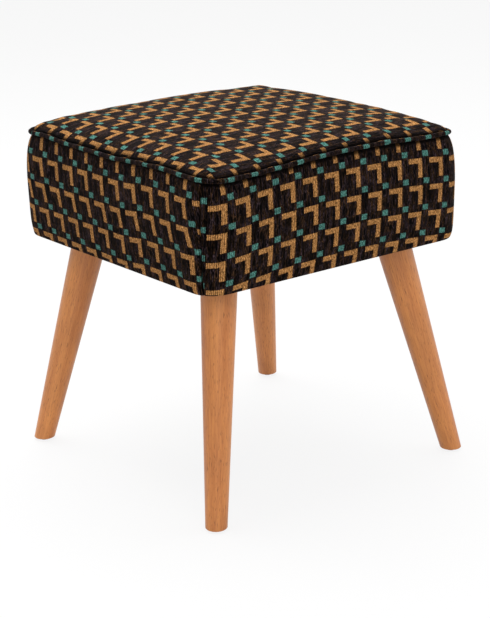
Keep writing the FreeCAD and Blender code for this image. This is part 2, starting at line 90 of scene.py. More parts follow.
# ------------------------ colours, from 0 to 255
BLACK, SOOT, BROWN, PLUM = (3, 2, 1), (3, 2, 2), (54, 37, 25), (50, 39, 42)
MUSTARD_TONES = ((112, 72, 38), (156, 109, 62), (196, 147, 92))
TEAL_TONES = ((36, 70, 66), (66, 112, 104), (100, 150, 138))
SHEEN_TONE = (220, 200, 190)
STAIN_TONES = ((207, 134, 69), (171, 98, 44), (117, 61, 26))
PINE_TONES = ((226, 190, 136), (192, 146, 92), (160, 112, 66))
PLYWOOD_TONES = ((176, 132, 86), (214, 176, 126))
STEEL_TONES = ((150, 152, 154), (206, 208, 210))
PLASTIC_TONES = ((44, 27, 18), (66, 42, 29))
COTTON_TONES = ((196, 186, 166), (236, 229, 212))
FOAM_TONES = ((206, 190, 140), (238, 226, 186))
NONWOVEN_TONES = ((20, 20, 22), (44, 44, 47))
FLOOR_TONES = ((220, 220, 220), (224, 224, 224))

random = np.random.default_rng(7)


def between(value, table):
    """A smooth value between the pairs of a table."""
    places, values = zip(*table)
    value = min(max(value, places[0]), places[-1])
    index = min(int(np.searchsorted(places, value, side="right")) - 1, len(places) - 2)
    share = (value - places[index]) / (places[index + 1] - places[index])
    share = share * share * (3 - 2 * share)
    return values[index] + (values[index + 1] - values[index]) * share


def spread(low, high, step):
    """Evenly spaced places from low to high, about a step apart."""
    return list(np.linspace(low, high, max(2, int(round((high - low) / step)) + 1)))


# ------------------------ shader nodes
def colour(red, green, blue):
    """A colour that is given as in the photograph, from 0 to 255."""
    parts = (part / 255 for part in (red, green, blue))
    return tuple(part / 12.92 if part < 0.0405 else ((part + 0.055) / 1.055) ** 2.4 for part in parts) + (1,)


class Shader:
    """A material and a short way to add its nodes."""

    def __init__(self, name, **settings):
        self.material = bpy.data.materials.new(name)
        self.material.use_nodes = True
        self.tree = self.material.node_tree
        self.surface = self.tree.nodes["Principled BSDF"]
        for key, value in settings.items():
            self.surface.inputs[key.replace("_", " ")].default_value = value
        self.place = self.add("TexCoord").outputs["Object"]

    def fill(self, socket, value):
        """Links a socket to another one, or sets its value."""
        if isinstance(value, bpy.types.NodeSocket):
            self.tree.links.new(value, socket)
        else:
            socket.default_value = value

    def add(self, kind, inputs=(), **settings):
        node = self.tree.nodes.new("ShaderNode" + kind)
        for key, value in settings.items():
            setattr(node, key, value)
        for key, value in dict(inputs).items():
            self.fill(node.inputs[key], value)
        return node

    def math(self, operation, *values):
        return self.add("Math", enumerate(values), operation=operation).outputs[0]

    def scaled(self, vector, scale):
        return self.add("VectorMath", {0: vector, 1: scale}, operation="MULTIPLY").outputs[0]

    def noise(self, scale, detail=2, vector=None, roughness=0.5):
        inputs = {"Vector": vector or self.place, "Scale": scale, "Detail": detail, "Roughness": roughness}
        return self.add("TexNoise", inputs).outputs["Fac"]

    def ranged(self, value, low, high, start=0, end=1):
        """Start at the low value and end at the high one, and straight between them."""
        inputs = {0: value, 1: low, 2: high, 3: start, 4: end}
        return self.add("MapRange", inputs).outputs[0]

    def band(self, value, low, high, soft):
        """1 between low and high, and 0 outside."""
        rise = self.ranged(value, low - soft, low + soft)
        return self.math("MULTIPLY", rise, self.ranged(value, high - soft, high + soft, 1, 0))

    def mixed(self, share, first, second, blend="MIX"):
        inputs = {0: share, 6: first, 7: second}
        return self.add("Mix", inputs, data_type="RGBA", blend_type=blend).outputs[2]

    def ramp(self, value, places, tones):
        """A colour that passes through the tones as the value passes the places."""
        node = self.add("ValToRGB", {0: value})
        elements = node.color_ramp.elements
        while len(elements) < len(tones):
            elements.new(0.5)
        for element, place, tone in zip(elements, places, tones):
            element.position = place
            element.color = colour(*tone)
        return node.outputs[0]

    def brightened(self, shade, factor):
        """The colour, made lighter or darker by a factor that changes over the surface."""
        grey = self.add("CombineColor", {0: factor, 1: factor, 2: factor}).outputs[0]
        return self.mixed(1, shade, grey, "MULTIPLY")

    def finish(self, shade, height=None, strength=0.3, depth=0.4 * MM, roughness=None):
        """Links the colour, the roughness and the bump to the surface."""
        self.fill(self.surface.inputs["Base Color"], shade)
        if roughness is not None:
            self.fill(self.surface.inputs["Roughness"], roughness)
        if height is not None:
            bump = self.add("Bump", {"Strength": strength, "Distance": depth, "Height": height})
            self.fill(self.surface.inputs["Normal"], bump.outputs[0])
        return self.material


# ------------------------ materials
def pattern_masks(shader, cell):
    """Where the brackets and the small squares are, with edges that the pile makes ragged."""
    ragged = shader.add("TexNoise", {"Vector": shader.place, "Scale": 900, "Detail": 3})
    shift = shader.scaled(ragged.outputs["Color"], PATTERN_RAGGED)
    middle = tuple(value / 2 for value in PATTERN_RAGGED)
    moved = shader.add("VectorMath", {0: cell, 1: shift}, operation="ADD").outputs[0]
    moved = shader.add("VectorMath", {0: moved, 1: middle}, operation="SUBTRACT").outputs[0]
    parts = shader.add("SeparateXYZ", {0: moved}).outputs
    along, down = (shader.math("FRACT", parts[i]) for i in (0, 1))

    def box(left, right, top, bottom):
        return shader.math("MULTIPLY", shader.band(along, left, right, PATTERN_BLUR),
                           shader.band(down, top, bottom, PATTERN_BLUR))

    left, right, top, bottom = BRACKET
    bar, arm = BRACKET_BARS
    bracket = shader.math("MAXIMUM", box(left, right, top, top + bar), box(right - arm, right, top, bottom))
    return bracket, box(*SQUARE)


def fabric_material():
    """Ribbed pile with brackets and small squares on a dark ground; the mesh gives cell and painted shade.
    """
    shader = Shader("patterned_fabric", Roughness=0.9, Sheen_Weight=0.02, Sheen_Roughness=0.35,
                    Specular_IOR_Level=0.03)
    shader.surface.inputs["Sheen Tint"].default_value = colour(*SHEEN_TONE)
    cell = shader.add("Attribute", attribute_name="weave_and_shade").outputs["Vector"]
    bracket, square = pattern_masks(shader, cell)
    across, _, painted_shade = shader.add("SeparateXYZ", {0: cell}).outputs
    ribs = shader.math("MULTIPLY", across, RIBS_PER_CELL * math.pi)
    rib = shader.math("ABSOLUTE", shader.math("SINE", ribs))
    tuft = shader.noise(1500, 2)
    patch = shader.noise(90, 2)
    tint = shader.noise(1, 2, shader.scaled(cell, TINT_GRAIN))
    streak = shader.noise(1, 2, shader.scaled(cell, STREAK_GRAIN))
    yarn = shader.noise(1, 3, shader.scaled(cell, YARN_GRAIN))
    ground = shader.ramp(tint, (0.38, 0.44, 0.50, 0.55, 0.61), (BLACK, BROWN, BLACK, PLUM, SOOT))
    ground = shader.brightened(ground, shader.ranged(streak, 0.40, 0.60, 0.3, 1.55))
    mustard = shader.ramp(tuft, (0.30, 0.50, 0.68), MUSTARD_TONES)
    teal = shader.ramp(tuft, (0.30, 0.52, 0.70), TEAL_TONES)
    shade = shader.mixed(bracket, ground, mustard)
    shade = shader.mixed(square, shade, teal)
    # Mottling of the pile, darker between the ribs, and painted shade down to 0.08 from the third number.
    tone_and_shade = shader.math("ADD", shader.ranged(rib, 0, 0.8, 0.22, 1.15),
                       shader.ranged(patch, 0.3, 0.7, -0.12, 0.12))
    for factor in (shader.ranged(tuft, 0.3, 0.7, 0.8, 1.2), shader.ranged(yarn, 0.36, 0.62, 0.4, 1.45),
                   shader.ranged(painted_shade, 0, 1, 1, 0.08)):
        tone_and_shade = shader.math("MULTIPLY", tone_and_shade, factor)
    shade = shader.brightened(shade, tone_and_shade)
    raised = shader.math("MAXIMUM", bracket, square)
    height = shader.math("ADD", rib, shader.math("MULTIPLY", tuft, 0.9))
    height = shader.math("ADD", height, shader.math("MULTIPLY", raised, 0.5))
    return shader.finish(shade, height, strength=0.55, depth=0.45 * MM)


def wood_material(name, axis, start, tones, stretch=22, scale=700):
    """Wood with a grain along an axis, in a light, a dark and a fleck tone; start moves the grain."""
    shader = Shader(name, Roughness=0.42, Specular_IOR_Level=0.45, Coat_Weight=0.15, Coat_Roughness=0.3)
    turn = Vector(axis).normalized().rotation_difference(Vector((0, 0, 1))).to_euler()
    turned = shader.add("Mapping", {"Vector": shader.place, "Rotation": turn, "Location": start}).outputs[0]
    long_way = shader.scaled(turned, (1, 1, 1 / stretch))
    wide = shader.noise(60, 3, long_way)
    fine = shader.noise(scale, 3, long_way, 0.6)
    dash = shader.noise(scale * 1.7, 1, shader.scaled(turned, (1, 1, 0.1)))
    cloud = shader.noise(14, 2, turned)
    tone = shader.math("ADD", shader.math("MULTIPLY", wide, 0.55), shader.math("MULTIPLY", fine, 0.45))
    light, dark, fleck = tones
    shade = shader.ramp(tone, (0.34, 0.62), (dark, light))
    shade = shader.mixed(shader.ranged(dash, 0.62, 0.74, 0, 0.75), shade, colour(*fleck))
    shade = shader.brightened(shade, shader.ranged(cloud, 0.3, 0.7, 0.9, 1.08))
    height = shader.math("SUBTRACT", fine, shader.ranged(dash, 0.6, 0.72, 0, 0.8))
    rough = shader.ranged(fine, 0.3, 0.7, 0.36, 0.5)
    return shader.finish(shade, height, strength=0.12, depth=0.25 * MM, roughness=rough)


def plywood_material():
    """Plywood with the layers showing at its edges."""
    shader = Shader("plywood", Roughness=0.65)
    level = shader.add("SeparateXYZ", {0: shader.place}).outputs[2]
    layer = shader.math("MULTIPLY", level, PLY_RATE)
    layer = shader.math("ABSOLUTE", shader.math("SINE", layer))
    grain = shader.noise(240, 3, shader.scaled(shader.place, (0.08, 1, 1)), 0.6)
    face = shader.ramp(grain, (0.32, 0.66), PLYWOOD_TONES)
    shade = shader.brightened(face, shader.ranged(layer, 0, 0.4, 0.72, 1))
    return shader.finish(shade, grain, strength=0.2, depth=0.3 * MM)


def steel_material():
    shader = Shader("zinc_steel", Roughness=0.38, Metallic=0.9)
    spangle = shader.noise(420, 3)
    shade = shader.ramp(spangle, (0.3, 0.7), STEEL_TONES)
    return shader.finish(shade, spangle, strength=0.08, roughness=shader.ranged(spangle, 0.3, 0.7, 0.3, 0.5))


def plastic_material():
    shader = Shader("brown_plastic", Roughness=0.5)
    grain = shader.noise(1300, 2)
    shade = shader.ramp(grain, (0.3, 0.7), PLASTIC_TONES)
    return shader.finish(shade, grain, strength=0.15, depth=0.2 * MM)


def cotton_material():
    shader = Shader("cotton_cord", Roughness=0.9, Sheen_Weight=0.3)
    inputs = {"Vector": shader.place, "Scale": 260, "Distortion": 2}
    twist = shader.add("TexWave", inputs, bands_direction="DIAGONAL").outputs["Fac"]
    shade = shader.ramp(twist, (0.2, 0.8), COTTON_TONES)
    return shader.finish(shade, twist, strength=0.4)


def foam_material():
    shader = Shader("foam", Roughness=0.95)
    pores = shader.add("TexVoronoi", {"Vector": shader.place, "Scale": 900}).outputs["Distance"]
    shade = shader.ramp(pores, (0.1, 0.6), FOAM_TONES)
    return shader.finish(shade, pores, strength=0.4)


def nonwoven_material():
    """Black non-woven cloth with its small bonded dots and loose fibres."""
    shader = Shader("nonwoven_cloth", Roughness=0.85, Sheen_Weight=0.15)
    inputs = {"Vector": shader.scaled(shader.place, (1, 1.25, 0)), "Scale": 420, "Randomness": 0.15}
    dots = shader.add("TexVoronoi", inputs).outputs["Distance"]
    fibres = shader.noise(500, 4, shader.scaled(shader.place, (0.4, 1, 1)), 0.7)
    shade = shader.ramp(fibres, (0.3, 0.7), NONWOVEN_TONES)
    shade = shader.brightened(shade, shader.ranged(dots, 0.15, 0.4, 0.7, 1.05))
    return shader.finish(shade, shader.math("ADD", dots, fibres), strength=0.35)


# ------------------------ meshes
def new_piece(name, points, faces, material, weave_and_shade=None):
    """A smooth mesh on the frame's body; the last argument gives each point's pattern place and painted
    shade.
    """
    mesh = bpy.data.meshes.new(name)
    mesh.from_pydata([tuple(point) for point in points], [], faces)
    mesh.validate()
    for polygon in mesh.polygons:
        polygon.use_smooth = True
    piece = bpy.data.objects.new(name, mesh)
    bpy.context.scene.collection.objects.link(piece)
    mesh.materials.append(material)
    if weave_and_shade is not None:
        # Each point's place in the pattern, and as a third number its share of painted shade.
        cells = [(*cell, 0)[:3] for cell in weave_and_shade]
        mesh.attributes.new("weave_and_shade", "FLOAT_VECTOR", "POINT").data.foreach_set("vector", np.ravel(cells))
    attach(piece, "root")
    return piece


def grid_faces(rows, columns, around=False):
    """Faces of a grid of points, numbered row by row; around joins its last column to its first."""
    faces = []
    for row in range(rows - 1):
        for column in range(columns if around else columns - 1):
            here, there = row * columns, (row + 1) * columns
            after = (column + 1) % columns
            faces.append((here + column, here + after, there + after, there + column))
    return faces


def smooth(piece):
    """Subdivides a piece once, in view and in renders."""
    rounding = piece.modifiers.new("smooth", "SUBSURF")
    rounding.levels = rounding.render_levels = 1


def smooth_and_close(piece):
    """Subdivides an open form once and closes its flat underside, which rests on something."""
    smooth(piece)
    graph = bpy.context.evaluated_depsgraph_get()
    mesh = bpy.data.meshes.new_from_object(piece.evaluated_get(graph), preserve_all_data_layers=True,
                                           depsgraph=graph)
    piece.modifiers.clear()
    shape = bmesh.new()
    shape.from_mesh(mesh)
    bmesh.ops.holes_fill(shape, edges=[edge for edge in shape.edges if edge.is_boundary], sides=0)
    shape.to_mesh(mesh)
    shape.free()
    piece.data = mesh


# ------------------------ cloth
CLOTH = {"quality": 6, "mass": 0.3, "tension_stiffness": 12, "compression_stiffness": 12,
         "shear_stiffness": 6, "bending_stiffness": 0.6, "use_pressure": True}
CLOTH_FRAMES = 20
FARTHEST_MOVE = 5 * MM  # no point moves farther than this
PANEL_PRESSURE = 9.0
TOP_PRESSURE = 0.4


def add_cloth(piece, free, pressure):
    held = piece.vertex_groups.new(name="held")
    held.add([i for i in range(len(piece.data.vertices)) if i not in free], 1.0, "REPLACE")
    cloth = piece.modifiers.new("cloth", "CLOTH")
    cloth.settings.vertex_group_mass = "held"
    for key, value in CLOTH.items():
        setattr(cloth.settings, key, value)
    cloth.settings.uniform_pressure_force = pressure
    cloth.settings.effector_weights.gravity = 0
    cloth.collision_settings.use_collision = False
    cloth.point_cache.frame_start, cloth.point_cache.frame_end = 1, CLOTH_FRAMES


def keep_move(piece, start, end):
    """Gives the piece its moved points, and eases off the moves that come near the farthest one."""
    move = end - start
    length = np.maximum(np.linalg.norm(move, axis=1), 1e-9)
    move *= (FARTHEST_MOVE * np.tanh(length / FARTHEST_MOVE) / length)[:, None]
    piece.modifiers.remove(piece.modifiers["cloth"])
    piece.vertex_groups.remove(piece.vertex_groups["held"])
    piece.data.vertices.foreach_set("co", np.ravel(start + move))
    kept = np.linalg.norm(move, axis=1).max()
    print(f"{piece.name}: moved {length.max() / MM:.1f} mm, kept {kept / MM:.1f} mm")


def coordinates(mesh):
    points = np.empty(3 * len(mesh.vertices))
    mesh.vertices.foreach_get("co", points)
    return points.reshape(-1, 3)


def swell(skins):
    """Blows the free points of the pieces out as cloth; skins are (piece, free points, pressure)."""
    for skin in skins:
        add_cloth(*skin)
    pieces = [piece for piece, _, _ in skins]
    starts = [coordinates(piece.data) for piece in pieces]
    for number in range(1, CLOTH_FRAMES + 1):
        bpy.context.scene.frame_set(number)
    graph = bpy.context.evaluated_depsgraph_get()
    ends = [coordinates(piece.evaluated_get(graph).data) for piece in pieces]
    for piece, start, end in zip(pieces, starts, ends):
        keep_move(piece, start, end)
    bpy.context.scene.frame_set(1)


# ------------------------ the line of the piping
# How much higher than the CAD's level the piping runs, in millimetres, along each side from its left
# end to its right end as seen from outside.
LIFTS = {
    "front": ((-172, -3.2), (-127, -2.4), (-95, -0.6), (-26, 3), (7, 4), (76, 4), (112, 1.8), (145, 0),
              (172, 0.3)),
    "left": ((-172, -1), (-150, 0), (-96, -2.5), (-26, -3), (8, -3.5), (44, -1.5), (79, 0), (114, 1.2),
             (172, -0.5)),
    "right": ((-172, -3), (-145, -0.5), (-60, 1.5), (30, 1.5), (172, 0)),
    "back": ((-172, 0), (-40, 2), (60, 1.5), (145, 1), (172, -1.5)),
}
SIDES = {"front": 0, "right": 1, "back": 2, "left": 3}
NEXT = {"front": "right", "right": "back", "back": "left", "left": "front"}
BEFORE = {after: side for side, after in NEXT.items()}


def turned(x, y, side):
    """A point or direction of the front side, turned to where the given side is."""
    for _ in range(SIDES[side]):
        x, y = -y, x
    return x, y


def lift(side, along):
    """The piping's height over its level at a distance from the middle of a side."""
    table = LIFTS[side]
    if abs(along) <= CORE:
        return MM * between(along / MM, table)
    other = LIFTS[NEXT[side]][0][1] if along > 0 else LIFTS[BEFORE[side]][-1][1]
    end = table[-1][1] if along > 0 else table[0][1]
    share = min((abs(along) - CORE) / QUARTER, 1)
    return MM * (end + (other - end) * share * share * (3 - 2 * share))


def station(along):
    """The core point and the outward direction at a distance from the middle of the front side."""
    past = abs(along) - CORE
    if past <= 0:
        return (along, -CORE), (0, -1)
    way = math.copysign(1, along)
    turn = min(past / ARC_RUN, math.pi / 2)
    beyond = past - turn * ARC_RUN
    return (way * CORE, beyond - CORE), (way * math.sin(turn), -math.cos(turn))


def placed(side, along, reach, level):
    """The point of a side at a distance from its middle, a reach outward and a level."""
    (x, y), (across, out) = station(along)
    return (*turned(x + across * reach, y + out * reach, side), level)


# ------------------------ side panels
# The reach of each panel past the middle of its side: to a seam on a corner's rounding, or past it.
SEAM_FRONT = CORE + QUARTER * 0.66
SEAM_SIDE = CORE + QUARTER * 0.34
SEAM_WRAPPED = CORE + QUARTER + 0.015
SEAM_BACK = CORE - 0.015
PANELS = {
    "front": (-SEAM_FRONT, SEAM_FRONT),
    "right": (-SEAM_SIDE, SEAM_WRAPPED),
    "back": (-SEAM_BACK, SEAM_BACK),
    "left": (-SEAM_WRAPPED, SEAM_SIDE),
}
# How far the padded sides reach out from the corners' centres, as in the photograph: height and reach,
# in millimetres.
SWELL = ((296.9, 31.6), (300, 32.8), (305, 33.8), (312, 34.5), (322, 35), (338, 35.5), (355, 36),
         (372, 36.3), (388, 36), (398, 35.3), (406, 34.4), (413, 33.3), (419, 31.9), (424, 30.1), (428, 28),
         (431, 25.8), (433.3, 24.7))
FOOT_REACH = MM * SWELL[0][1]
PANEL_SWELL = 0.0022    # how much of that the simulated pressure adds in the middle
PANEL_FLAT = ((110, 1), (170, 0))       # where along a panel it does, in millimetres
HEM_REACHES = (HEM_REACH, 0.008, 0.014, 0.020, 0.0255)
HEM_TURN = ((2.6, 0.1), (0.9, 0.8))     # millimetres inside the foot and above the hem
EVEN_TOP = 0.4225       # up to here the rows of points are a cell apart, and then these follow
HEAD_LEVELS = [0.4255, 0.428, 0.4302, 0.432, PANEL_TOP]
INNER_REACH = RAIL_REACH + 0.2 * MM
INNER_LEVELS = (0.41, 0.37, 0.33, RAIL_UNDERSIDE + 0.3 * MM)
SEAM_STEPS = (0, 0.8, 1.8, 3.2)         # the columns of points beside a seam, in millimetres from it
SEAM_WIDTH, SEAM_DEPTH = 1.7 * MM, 1.5 * MM
LOOSE_SHARE = 0.95      # the share of the height below which the skin may swell
SEAM_HOLD = 2.5 * MM    # how far from a seam it may
STITCH_SHARE, STITCH_RATE = 0.25, 1.05  # how much the stitches deepen a seam, and radians for each mm
FOOT_DENTS = (16, 7 * MM, 1.1 * MM)     # number, widest half width and greatest depth
HEAD_DENTS = (20, 6 * MM, 0.8 * MM)
FOOT_SHARE, HEAD_SHARE = 0.11, 0.10     # how far over the panel's height the dents reach
# Painted shade, the piping's shadow, at distances under a panel's upper edge, in millimetres.
FRONT_CREASE_SHADE, OTHER_CREASE_SHADE = ((4.5, 1), (8, 0)), ((1.5, 1), (5.5, 0))

# Where the cells are on the front panel: the level of its upper row of squares and how far that row
# drops at both ends, the place of the middle column and how far it leans, and a cell's size.
FRONT_ROW, FRONT_DROP, FRONT_DROP_RUN, FRONT_DROP_END = 0.4213, 0.009, 0.17, 0.19
FRONT_COLUMN, FRONT_LEAN = 0.0029, 0.058
FRONT_PITCH = (0.0341, 0.0339)
# The same on the left panel, in millimetres: the row's level along the panel, the column's place at each
# level, and what is added to that along the panel.
LEFT_ROWS = ((-200, 410.7), (30, 410.7), (90, 415.2), (200, 415))
LEFT_COLUMNS = ((295, 12), (312, 11.7), (345, 11), (378, 4), (411, -2.7), (440, -8))
LEFT_SHIFTS = ((40, 0), (90, 4), (200, 4))
LEFT_PITCH = (0.0344, 0.0329)


def front_cell(along, level):
    """The place in the pattern on the front panel; whole numbers are the middles of the small squares."""
    row = FRONT_ROW - FRONT_DROP * (min(abs(along), FRONT_DROP_END) / FRONT_DROP_RUN) ** 2
    column = FRONT_COLUMN - FRONT_LEAN * (FRONT_ROW - level)
    return (along - column) / FRONT_PITCH[0], (row - level) / FRONT_PITCH[1]


def left_cell(along, level):
    """The same on the left panel."""
    row = MM * between(along / MM, LEFT_ROWS)
    column = MM * between(level / MM, LEFT_COLUMNS)
    column += MM * between(along / MM, LEFT_SHIFTS)
    return (along - column) / LEFT_PITCH[0], (row - level) / LEFT_PITCH[1]


CELLS = {"front": front_cell, "right": front_cell, "back": left_cell, "left": left_cell}


def panel_profile():
    """Closed section of a padded side: reach, level, share of the height, and whether it may swell."""
    hem = [(reach, HEM_LEVEL, 0, False) for reach in HEM_REACHES]
    foot = [(FOOT_REACH - inside * MM, HEM_LEVEL + above * MM, 0, False) for inside, above in HEM_TURN]
    levels, reaches = zip(*SWELL)
    skin = []
    for level in spread(FOOT_LEVEL, EVEN_TOP, CELL) + HEAD_LEVELS:
        share = (level - FOOT_LEVEL) / (PANEL_TOP - FOOT_LEVEL)
        reach = MM * float(np.interp(level / MM, levels, reaches))
        skin.append((reach, level, share, 0 < share < LOOSE_SHARE))
    top = [(reach, PANEL_TOP, 1, False) for reach in (0.020, INNER_REACH)]
    back = [(INNER_REACH, level, 0.5, False) for level in INNER_LEVELS]
    under = [(reach, RAIL_UNDERSIDE - 0.05 * MM, 0, False) for reach in (0.012, 0.007, HEM_REACH)]
    return hem + foot + skin + top + back + under


def seam_columns(start, end):
    """Places along a panel, closer together at its two seams."""
    first = [start + step * MM for step in SEAM_STEPS]
    last = [end - step * MM for step in reversed(SEAM_STEPS)]
    return first + spread(first[-1] + CELL, last[0] - CELL, CELL) + last


def puckers(count, width, depth):
    """Small dents at random places along a panel's edge: place, half width and depth."""
    places = random.uniform(-0.2, 0.2, count)
    return [(place, random.uniform(0.5, 1) * width, random.uniform(0.3, 1) * depth) for place in places]


def dented(along, dents):
    """The depth of all the dents together at a place."""
    return sum(depth * math.exp(-((along - place) / width) ** 2) for place, width, depth in dents)


def panel_faces(rows, count):
    """A grid that is joined to itself along its length and closed at both ends."""
    last = (rows - 1) * count
    faces = grid_faces(rows, count)
    faces += [(last + i, last + i + 1, i + 1, i) for i in range(count - 1)]
    faces.append(tuple(row * count for row in range(rows)))
    faces.append(tuple(row * count + count - 1 for row in reversed(range(rows))))
    return faces


def side_panel(side, material):
    """A padded side with its cover: dented at both edges, grooved at the seams; also its free points."""
    start, end = PANELS[side]
    profile = panel_profile()
    columns = seam_columns(start, end)
    foot_dents, head_dents = puckers(*FOOT_DENTS), puckers(*HEAD_DENTS)
    stitches = random.uniform(0, 6)
    crease_shade = FRONT_CREASE_SHADE if side == "front" else OTHER_CREASE_SHADE
    points, weave_and_shade, free = [], [], set()
    for reach, level, share, loose in profile:
        for along in columns:
            tucked = min(along - start, end - along)
            seam = math.exp(-(tucked / SEAM_WIDTH) ** 2) * (reach > RAIL_REACH + MM)
            stitch = 1 + STITCH_SHARE * math.sin(level / MM * STITCH_RATE + stitches)
            out = reach - SEAM_DEPTH * seam * stitch
            if loose:
                out -= PANEL_SWELL * between(abs(along) / MM, PANEL_FLAT) * 4 * share * (1 - share)
            if loose:
                out -= dented(along, foot_dents) * math.exp(-(share / FOOT_SHARE) ** 2)
                out -= dented(along, head_dents) * math.exp(-((1 - share) / HEAD_SHARE) ** 2)
                if tucked > SEAM_HOLD:
                    free.add(len(points))
            height = level + lift(side, along) * share ** 1.5 * (level > HEM_LEVEL + 3 * MM)
            points.append(placed(side, along, out, height))
            column, row = CELLS[side](along, height)
            if level < FOOT_LEVEL:
                row += max(0, FOOT_REACH - reach) / CLOTH_PITCH
            # Painted shade: darker just under the upper edge, in the piping's shadow, and along the seams.
            painted_shade = between((PANEL_TOP - level) / MM, crease_shade) + 0.5 * seam
            weave_and_shade.append((column + SQUARE_MIDDLE[0], row + SQUARE_MIDDLE[1], min(painted_shade, 1)))
    faces = panel_faces(len(profile), len(columns))
    piece = new_piece(f"{side}_panel", points, faces, material, weave_and_shade)
    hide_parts(f"cover_{side}", f"{side}_padding")
    return piece, free


# ------------------------ the cushion's crowned top
TOP_HALF = CORE + HEAD_REACH
TOP_EDGE = 0.3 * MM     # how far the rim stands over the piping's sewn tail
SHOULDER = 0.0135       # how high the cushion rises steeply, beside the piping
SHOULDER_RUN = 0.028    # and over what distance
CORNER_LOSS = 0.3       # the share of that which is missing at the corners
CROWN = 0.010           # how much more it rises from there to the middle
CROWN_SWELL = 0.0022    # how much of that the simulated pressure adds
RIM_STEPS = (0, 0.5, 1.5, 3, 5.2, 8, 11.2)      # the rows of points beside the rim, in millimetres from it
RIM_GAP = 3.6 * MM      # from the last of them to the even grid
RIM_DENTS = (14, 8 * MM, 0.9 * MM)      # number, widest half width and greatest depth
DENT_MIDDLE, DENT_RUN, DENT_START = 8 * MM, 9 * MM, 4 * MM
EDGE_FADE = 0.035       # how far in from the rim the piping's rise and dip show
RIM_SHADE_RUN = 2.5 * MM  # how far in from the rim the painted shade beside the piping reaches
# The loops of points under the rim: reach, height over the piping's tail, or else level.
FOAM_REACH = RAIL_REACH - 0.2 * MM
UNDER_LOOPS = ((0.0185, 0.1 * MM, None), (FOAM_REACH, 0.1 * MM, None), (FOAM_REACH, 0, 0.4225),
               (FOAM_REACH, 0, DECK_TOP + 0.1 * MM))


def inward_from_rim(x, y):
    """How far inside the rim a point of the top is."""
    across, out = max(abs(x) - CORE, 0), max(abs(y) - CORE, 0)
    if across > 0 and out > 0:
        return max(HEAD_REACH - math.hypot(across, out), 0)
    return max(TOP_HALF - max(abs(x), abs(y)), 0)


def rise_of_top(x, y, crown=CROWN):
    """How high the cushion's skin stands over its rim."""
    left = 1 - min(inward_from_rim(x, y) / SHOULDER_RUN, 1)
    far_x, far_y = min(abs(x) / TOP_HALF, 1), min(abs(y) / TOP_HALF, 1)
    shoulder = SHOULDER * math.sqrt(1 - left * left) * (1 - CORNER_LOSS * (far_x * far_y) ** 2.5)
    return shoulder + crown * (1 - far_x ** 2) * (1 - far_y ** 2)


def round_corner(x, y, reach):
    """Brings a point of a square into one whose corners are rounded by the reach."""
    a, b = (max(abs(value) - CORE, 0) / reach for value in (x, y))
    if a > 0 and b > 0:
        a, b = a * math.sqrt(1 - b * b / 2), b * math.sqrt(1 - a * a / 2)
        return (math.copysign(CORE + a * reach, x), math.copysign(CORE + b * reach, y))
    return x, y


def edge_lift(x, y):
    """The piping's lift at the edge point that is nearest to a point of the top."""
    across, out = max(abs(x) - CORE, 0), max(abs(y) - CORE, 0)
    if abs(y) >= abs(x):
        side = "front" if y < 0 else "back"
        along = x if y < 0 else -x
    else:
        side = "right" if x > 0 else "left"
        along = y if x > 0 else -y
    if across > 0 and out > 0:
        turn = math.atan2(min(across, out), max(across, out))
        along = math.copysign(CORE + turn * ARC_RUN, along)
    return lift(side, along)


# Where the brackets' outer corners lie on the top, in rows and columns of the pattern: the factors of
# 1, b, b2, b3, a, ab, ab2, a2, a2b and a3, where a and b are the ways across over the seat's half width.
TOP_ROWS = (5.928, 0.039, -0.358, 0.065, 5.963, 0.108, -0.021, -0.197, -0.040, 0.005)
TOP_COLUMNS = (5.656, 5.809, -0.335, 0.056, 0.109, 0.129, -0.042, -0.313, -0.036, -0.004)

# The cushion's middle section, and the way over it from the middle to each of its places.
SECTION = np.linspace(0, TOP_HALF, 800)
SECTION_WAY = np.cumsum([0, *np.hypot(np.diff(SECTION), np.diff([rise_of_top(x, 0) for x in SECTION]))])


def way_over_crown(across):
    """The length of cloth from the middle to a place on the way to the piping, over the half width."""
    return math.copysign(float(np.interp(abs(across), SECTION, SECTION_WAY)), across) / (CORE + PIPING_REACH)


def top_cell(a, b):
    """The place in the pattern on the top; a and b are the ways across over the seat's half width."""
    powers = (1, b, b * b, b ** 3, a, a * b, a * b * b, a * a, a * a * b, a ** 3)
    row, column = (sum(factor * power for factor, power in zip(factors, powers))
                   for factors in (TOP_ROWS, TOP_COLUMNS))
    return BRACKET[1] - column, BRACKET[2] - row


def top_lines():
    """The places of the grid lines across the top, closer together at the rim."""
    near = [TOP_HALF - step * MM for step in RIM_STEPS]
    inner = near[-1] - RIM_GAP
    return [-place for place in near] + spread(-inner, inner, CELL) + near[::-1]


def top_point(line_x, line_y, crown, rim_dents):
    """The point of the skin where two grid lines cross, dented near the rim."""
    x, y = round_corner(line_x, line_y, HEAD_REACH)
    inward = TOP_HALF - max(abs(line_x), abs(line_y))
    edge = edge_lift(line_x, line_y) * math.exp(-inward / EDGE_FADE)
    flatter = abs(line_y) >= abs(line_x)
    dents = rim_dents[flatter * 2 + (line_x + line_y > 0)]
    dent = dented(x if flatter else y, dents) * math.exp(-((inward - DENT_MIDDLE) / DENT_RUN) ** 2)
    dent *= min(inward / DENT_START, 1)
    return x, y, TAIL_TOP + TOP_EDGE + rise_of_top(x, y, crown) + edge - dent


